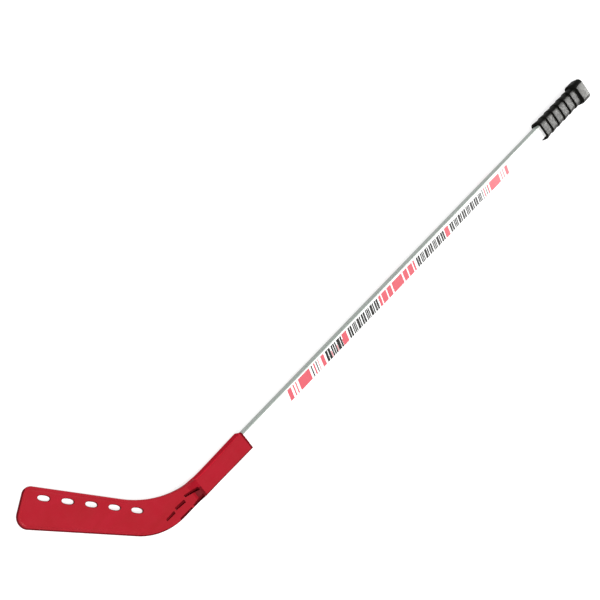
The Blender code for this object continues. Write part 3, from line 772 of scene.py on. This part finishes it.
def make_shaft(materials):
    """Tube with a printed broad face on both sides, joined by two narrow sides, the ends and the bore."""
    x_low = -SOCKET_DEPTH
    x_high = BUTT_X - KNOB_FLOOR
    half_width = SHAFT_WIDTH / 2
    half_depth = SHAFT_THICKNESS / 2
    flat = half_width - SHAFT_CORNER
    plan, triangles, inks = printed_face(x_low, x_high, flat)
    count = len(plan)
    verts = [(x, y, half_depth) for x, y in plan] + [(x, -y, -half_depth) for x, y in plan]
    faces = [tuple(t) for t in triangles.tolist()]
    faces += [tuple(i + count for i in t) for t in triangles.tolist()]
    material_of = list(inks) + list(inks)

    def face_vertex(x, y, side):
        """Index of a broad face's own vertex at an end of the shaft."""
        wanted = np.array((x, y * side))
        return int(np.argmin(((plan - wanted) ** 2).sum(axis=1))) + (0 if side == 1 else count)

    def new_vertices(x, points):
        first = len(verts)
        verts.extend((x, y, z) for y, z in points)
        return list(range(first, len(verts)))

    side = side_section()
    other_side = [(-y, -z) for y, z in side]
    across = (flat, flat - FACE_STRIP, -flat + FACE_STRIP, -flat)
    rings = []
    for x in (x_low, x_high):
        ring = [face_vertex(x, flat, 1)]
        ring += new_vertices(x, side)
        ring += [face_vertex(x, y, -1) for y in across]
        ring += new_vertices(x, other_side)
        ring += [face_vertex(x, y, 1) for y in reversed(across[1:])]
        rings.append(ring)
    size = len(rings[0])
    for here in range(size):
        after = (here + 1) % size
        a, b = rings[0][here], rings[0][after]
        on_broad_face = (a < count) == (b < count) and max(a, b) < 2 * count
        if on_broad_face:
            continue
        faces.append((a, b, rings[1][after], rings[1][here]))
        lowest = min(verts[a][1], verts[b][1])
        # narrow sides take the grey painted shade; the lower faces of the -Y corners stay white
        material_of.append(WHITE if -half_width + 1e-6 < lowest < -flat else SHADED_SIDE)

    inner = rounded_rectangle(half_width - SHAFT_WALL, half_depth - SHAFT_WALL, SHAFT_BORE_CORNER,
                              ARC_STEPS)
    inner_size = len(inner)
    first = len(verts)
    for x in (x_low, x_high):
        new_vertices(x, inner)
    for number, ring in enumerate(rings):
        outer = np.array([(verts[i][1], verts[i][2]) for i in ring])
        start = first + number * inner_size
        index = list(ring) + list(range(start, start + inner_size))
        faces += [tuple(index[i] for i in face) for face in ring_between(outer, inner)]
    for here in range(inner_size):
        after = (here + 1) % inner_size
        faces.append((first + here, first + after, first + inner_size + after, first + inner_size + here))
    material_of += [WHITE] * (len(faces) - len(material_of))
    shaft = add_piece("shaft_tube", verts, faces, materials, "shaft", material_of)
    face_out(shaft)
    return shaft


# ---------------------------------------------------------------- grip and knob
def make_grip(materials):
    """Ribbed sleeve: each rib steps up at its blade end and falls away to the butt."""
    tail_width = SHAFT_WIDTH / 2 + FIT_GAP + GRIP_WALL_SIDE
    tail_depth = SHAFT_THICKNESS / 2 + FIT_GAP + GRIP_WALL_FACE
    end = KNOB_START_X - FIT_GAP
    pitch = (end - GRIP_START_X) / GRIP_RIBS
    profile = ((0.0, 0.0), (0.25, 0.42), (0.5, 0.75), (0.8, 0.9), (1.3, 0.985), (2.0, 1.0), (3.0, 0.965),
               (pitch / MM * 0.4, 0.64), (pitch / MM * 0.6, 0.38), (pitch / MM * 0.8, 0.17),
               (pitch / MM - 1.4, 0.05), (pitch / MM - 0.5, 0.0))
    sections = []
    for rib in range(GRIP_RIBS):
        extra = GRIP_LIP if rib == 0 else 0.0
        for offset, share in profile:
            width = tail_width + (GRIP_RISE_SIDE + extra) * share
            depth = tail_depth + (GRIP_RISE_FACE + extra) * share
            sections.append((GRIP_START_X + rib * pitch + offset * MM,
                             rounded_rectangle(width, depth, GRIP_CORNER, 8, 4)))
    sections.append((end, rounded_rectangle(tail_width, tail_depth, GRIP_CORNER, 8, 4)))
    bore = shaft_space(8, 4)
    sections += [(end, bore), (GRIP_START_X, bore)]
    verts, faces = skin(sections, True)
    grip = add_piece("grip_ribbed_sleeve", verts, faces, materials, "grip_sleeve")
    face_out(grip)
    paint_shade_on_sides(grip, GRIP_SHADE_TURN)
    return grip


def make_knob(materials):
    """Square knob with rounded corners and edges, open towards the sleeve."""
    sections = []
    for end, inward in ((KNOB_START_X, 1), (BUTT_X, -1)):
        shoulder = []
        for step in range(ARC_STEPS + 1):
            angle = pi / 2 * step / ARC_STEPS
            inset = KNOB_EDGE * (1 - sin(angle))
            place = end + inward * KNOB_EDGE * (1 - cos(angle))
            shoulder.append((place, rounded_rectangle(KNOB_WIDTH / 2 - inset, KNOB_THICKNESS / 2 - inset,
                                                      KNOB_CORNER - inset * 0.5, 10, 4)))
        sections += shoulder if inward == 1 else shoulder[::-1]
    bore = shaft_space(10, 4)
    floor_x = BUTT_X - KNOB_FLOOR + FIT_GAP
    verts, faces = skin([(floor_x, bore), (KNOB_START_X, bore), *sections], False)
    knob = add_piece("grip_knob", verts, faces, materials, "butt_knob")
    face_out(knob)
    paint_shade_on_sides(knob, KNOB_SHADE_TURN)
    return knob


# ---------------------------------------------------------------- materials
class Nodes:
    """Small helper to build a node material."""

    def __init__(self, name):
        self.material = bpy.data.materials.new(name)
        self.material.use_nodes = True
        self.tree = self.material.node_tree
        self.shader = self.tree.nodes["Principled BSDF"]
        coordinates = self.tree.nodes.new("ShaderNodeTexCoord")
        self.place = coordinates.outputs["Object"]

    def link(self, output, socket):
        self.tree.links.new(output, socket)

    def stretched(self, scale):
        mapping = self.tree.nodes.new("ShaderNodeMapping")
        mapping.inputs["Scale"].default_value = scale
        self.link(self.place, mapping.inputs["Vector"])
        return mapping.outputs["Vector"]

    def noise(self, scale, detail=3.0, roughness=0.5, place=None, distortion=0.0):
        node = self.tree.nodes.new("ShaderNodeTexNoise")
        for name, value in (("Scale", scale), ("Detail", detail), ("Roughness", roughness),
                            ("Distortion", distortion)):
            node.inputs[name].default_value = value
        self.link(place or self.place, node.inputs["Vector"])
        return node.outputs["Fac"]

    def cells(self, scale):
        node = self.tree.nodes.new("ShaderNodeTexVoronoi")
        node.inputs["Scale"].default_value = scale
        self.link(self.place, node.inputs["Vector"])
        return node.outputs["Distance"]

    def ramp(self, value, low, high, out_low, out_high):
        node = self.tree.nodes.new("ShaderNodeMapRange")
        for name, limit in (("From Min", low), ("From Max", high), ("To Min", out_low),
                            ("To Max", out_high)):
            node.inputs[name].default_value = limit
        self.link(value, node.inputs["Value"])
        return node.outputs["Result"]

    def mix(self, factor, first, second):
        node = self.tree.nodes.new("ShaderNodeMix")
        node.data_type = "RGBA"
        for socket, colour in ((node.inputs[6], first), (node.inputs[7], second)):
            if hasattr(colour, "node"):
                self.link(colour, socket)
            else:
                socket.default_value = (*colour, 1.0)
        self.link(factor, node.inputs[0])
        return node.outputs[2]

    def bump(self, height, strength, depth, before=None):
        node = self.tree.nodes.new("ShaderNodeBump")
        node.inputs["Strength"].default_value = strength
        node.inputs["Distance"].default_value = depth
        self.link(height, node.inputs["Height"])
        if before is not None:
            self.link(before, node.inputs["Normal"])
        return node.outputs["Normal"]

    def set(self, **values):
        for name, value in values.items():
            socket = self.shader.inputs[name.replace("_", " ")]
            if hasattr(value, "node"):
                self.link(value, socket)
            else:
                socket.default_value = value


def red_plastic(name, tone, gloss):
    """Moulded red plastic; tone scales its colour, for the copies that carry painted shade or a painted
    brighter side.
    """
    n = Nodes(name)
    flow = n.noise(14.0, 4.0, 0.6, n.stretched((0.7, 1.6, 1.0)), 0.6)
    dull = (0.275 * tone, 0.0085 * tone, 0.014 * tone)
    rich = (0.315 * tone, 0.0085 * tone, 0.019 * tone)
    scraped = (0.40 * tone, 0.045 * tone, 0.055 * tone)
    colour = n.mix(n.ramp(flow, 0.3, 0.7, 0.0, 1.0), dull, rich)
    scuff = n.noise(160.0, 5.0, 0.65, n.stretched((0.25, 1.0, 1.0)))
    colour = n.mix(n.ramp(scuff, 0.66, 0.8, 0.0, 0.35), colour, scraped)
    n.set(Base_Color=colour, Roughness=n.ramp(n.noise(70.0, 4.0), 0.3, 0.7, 0.36, 0.46))
    n.shader.inputs["Specular IOR Level"].default_value = gloss
    peel = n.bump(n.noise(420.0, 2.0), 0.25, 0.0003)
    n.set(Normal=n.bump(n.noise(2600.0, 2.0), 0.22, 0.00008, peel))
    return n.material


def white_plastic(name, ink=None, pale=(0.86, 0.86, 0.85), dim=(0.80, 0.81, 0.80)):
    """Extruded white plastic, or the same under a thin worn ink."""
    n = Nodes(name)
    lines = n.noise(60.0, 4.0, 0.6, n.stretched((0.03, 9.0, 9.0)))
    base = n.mix(n.ramp(lines, 0.3, 0.7, 0.0, 1.0), dim, pale)
    marks = n.noise(300.0, 5.0, 0.7, n.stretched((0.15, 1.0, 1.0)))
    base = n.mix(n.ramp(marks, 0.68, 0.82, 0.0, 0.3), base, (0.55, 0.54, 0.52))
    if ink:
        wear = n.noise(900.0, 4.0, 0.7)
        base = n.mix(n.ramp(wear, 0.66, 0.74, 0.0, 0.55), ink, base)
    n.set(Base_Color=base, Roughness=n.ramp(n.noise(120.0, 4.0), 0.3, 0.7, 0.34, 0.46))
    n.shader.inputs["Specular IOR Level"].default_value = 0.3
    drawn = n.bump(lines, 0.12, 0.0004)
    n.set(Normal=n.bump(n.noise(1800.0, 2.0), 0.1, 0.00006, drawn))
    return n.material


def black_rubber(name, gloss, tone=1.0):
    """Moulded black rubber; tone scales its colour, and a tone below 1 gives the darker copy used as
    painted shade.
    """
    n = Nodes(name)
    bloom = n.noise(40.0, 5.0, 0.6)
    dark = (0.010 * tone, 0.010 * tone, 0.009 * tone)
    colour = n.mix(n.ramp(bloom, 0.35, 0.7, 0.0, 1.0), dark, (0.020 * tone, 0.020 * tone, 0.017 * tone))
    n.shader.inputs["Specular Tint"].default_value = (1.0, 0.99, 0.93, 1.0)
    n.set(Base_Color=colour, Roughness=n.ramp(n.noise(220.0, 4.0), 0.3, 0.7, 0.40, 0.55))
    n.shader.inputs["Specular IOR Level"].default_value = gloss
    grain = n.bump(n.cells(1500.0), 0.35, 0.00025)
    n.set(Normal=n.bump(n.noise(500.0, 3.0), 0.2, 0.0003, grain))
    return n.material


def plain_wood():
    n = Nodes("sawn_wood")
    grain = n.noise(90.0, 5.0, 0.6, n.stretched((0.08, 1.0, 1.0)), 1.2)
    colour = n.mix(n.ramp(grain, 0.35, 0.65, 0.0, 1.0), (0.50, 0.32, 0.17), (0.66, 0.47, 0.28))
    n.set(Base_Color=colour, Roughness=0.72, Normal=n.bump(grain, 0.3, 0.0004))
    return n.material


def plug_plastic():
    n = Nodes("dark_plug_plastic")
    colour = n.mix(n.noise(60.0, 4.0), (0.16, 0.16, 0.16), (0.22, 0.22, 0.22))
    n.set(Base_Color=colour, Roughness=0.5, Normal=n.bump(n.noise(900.0), 0.2, 0.0001))
    return n.material


def painted_steel():
    n = Nodes("painted_screw_steel")
    chips = n.ramp(n.noise(1400.0, 4.0, 0.7), 0.66, 0.72, 0.0, 1.0)
    colour = n.mix(chips, (0.26, 0.012, 0.02), (0.45, 0.44, 0.43))
    n.set(Base_Color=colour, Roughness=0.4, Metallic=chips, Normal=n.bump(n.noise(1200.0), 0.2, 0.0001))
    return n.material


def floor_material():
    n = Nodes("pale_floor")
    colour = n.mix(n.noise(0.8, 3.0), (0.28, 0.28, 0.28), (0.30, 0.30, 0.30))
    n.set(Base_Color=colour, Roughness=0.95)
    n.shader.inputs["Specular IOR Level"].default_value = 0.0
    n.shader.inputs["Emission Color"].default_value = (1.0, 1.0, 1.0, 1.0)
    n.shader.inputs["Emission Strength"].default_value = 0.82
    return n.material


# ---------------------------------------------------------------- stage
FLOOR_HALF = 40.0
FLOOR_GAP = 0.5 * MM
# The camera's right, down and forward axes and its shift, in the stick's axes with Y and Z turned over.
CAMERA_ROWS = ((0.60316, 0.59253, -0.53395), (-0.59611, 0.77965, 0.19183), (0.52996, 0.20259, 0.82347))
CAMERA_SHIFT = (-0.097420, 0.243859, 2.255822)
CAMERA_LENS = 78.0


def make_floor():
    corners = [(x * FLOOR_HALF, y * FLOOR_HALF, 0) for x, y in ((-1, -1), (1, -1), (1, 1), (-1, 1))]
    mesh = bpy.data.meshes.new("floor")
    mesh.from_pydata(corners, [], [(0, 1, 2, 3)])
    mesh.materials.append(floor_material())
    floor_piece = bpy.data.objects.new("floor", mesh)
    bpy.context.scene.collection.objects.link(floor_piece)
    floor_piece.location.z = CAD_BOX[0].z - FLOOR_GAP


def area_light(name, place, target, size, watts, colour=(1, 1, 1)):
    light = bpy.data.lights.new(name, "AREA")
    light.shape = "SQUARE"
    light.size = size
    light.energy = watts
    light.color = colour
    item = bpy.data.objects.new(name, light)
    bpy.context.scene.collection.objects.link(item)
    item.location = STICK @ Vector(place)
    aim = STICK @ Vector(target) - item.location
    item.rotation_mode = "QUATERNION"
    item.rotation_quaternion = aim.to_track_quat("-Z", "Y")


def make_world():
    """Dim studio round a pale horizon, so that low views don't end in a dark wall."""
    world = bpy.data.worlds.new("studio")
    world.use_nodes = True
    tree = world.node_tree
    direction = tree.nodes.new("ShaderNodeTexCoord")
    split = tree.nodes.new("ShaderNodeSeparateXYZ")
    fade = tree.nodes.new("ShaderNodeMapRange")
    for name, value in (("From Min", 0.12), ("From Max", 0.32), ("To Min", 0.95), ("To Max", 0.15)):
        fade.inputs[name].default_value = value
    tree.links.new(direction.outputs["Generated"], split.inputs["Vector"])
    tree.links.new(split.outputs["Z"], fade.inputs["Value"])
    tree.links.new(fade.outputs["Result"], tree.nodes["Background"].inputs["Strength"])
    tree.nodes["Background"].inputs["Color"].default_value = (1.0, 1.0, 1.0, 1.0)
    return world


def make_lights():
    area_light("overhead", (-2.0, -0.6, 3.7), (-0.2, 0.0, 0.0), 1.6, 230)
    area_light("butt_side", (4.3, -0.8, 1.7), (0.9, 0.0, 0.0), 1.4, 210)
    bpy.context.scene.world = make_world()
    bpy.context.scene.view_settings.view_transform = "Standard"


def make_camera():
    flip = Matrix.Diagonal((1, -1, -1))
    turn = flip @ Matrix(CAMERA_ROWS) @ flip
    place = -(turn.transposed() @ (flip @ Vector(CAMERA_SHIFT)))
    data = bpy.data.cameras.new("camera")
    data.sensor_width = 36.0
    data.lens = CAMERA_LENS
    data.clip_start = 0.05
    data.clip_end = 60.0
    camera = bpy.data.objects.new("camera", data)
    bpy.context.scene.collection.objects.link(camera)
    camera.matrix_world = STICK @ Matrix.Translation(place) @ turn.transposed().to_4x4()
    bpy.context.scene.camera = camera


def finish_hidden_nodes():
    """Materials for the CAD pieces that stay as they are."""
    finishes = {"core_block": plain_wood(), "butt_plug": plug_plastic()}
    steel = painted_steel()
    finishes["hosel_screw_front"] = steel
    finishes["hosel_screw_back"] = steel
    for node, material in finishes.items():
        item = frame["nodes"][node]
        if not item.material_slots:
            item.data.materials.append(material)
        for material_slot in item.material_slots:
            material_slot.material = material


def main():
    """Stage, then the pieces; each list of materials is in the order of the tones or inks above."""
    make_floor()
    make_lights()
    make_camera()
    finish_hidden_nodes()
    make_blade([
        red_plastic("moulded_red_plastic", 1.0, 0.12),
        # darker, brighter and slightly darker copies of the red: painted shade, painted side tone and
        # painted ramp shade
        red_plastic("moulded_red_painted_shade", 0.42, 0.03),
        red_plastic("moulded_red_painted_side_tone", 1.5, 0.0),
        red_plastic("moulded_red_painted_ramp_shade", 0.9, 0.0),
    ])
    make_shaft([
        white_plastic("white_plastic"),
        white_plastic("red_ink", (0.58, 0.10, 0.125)),
        white_plastic("black_ink", (0.018, 0.017, 0.016)),
        # grey copy of the white plastic: painted shade on the shaft's narrow sides
        white_plastic("white_plastic_painted_side_shade", None, (0.33, 0.37, 0.34), (0.29, 0.33, 0.30)),
    ])
    # darker rubber without gloss: painted shade on the narrow sides and rib steps of the grip and knob
    shade_rubber = black_rubber("moulded_black_rubber_painted_shade", 0.02, 0.4)
    make_grip([black_rubber("moulded_black_rubber", 0.18), shade_rubber])
    make_knob([black_rubber("polished_black_rubber", 0.42), shade_rubber])


main()
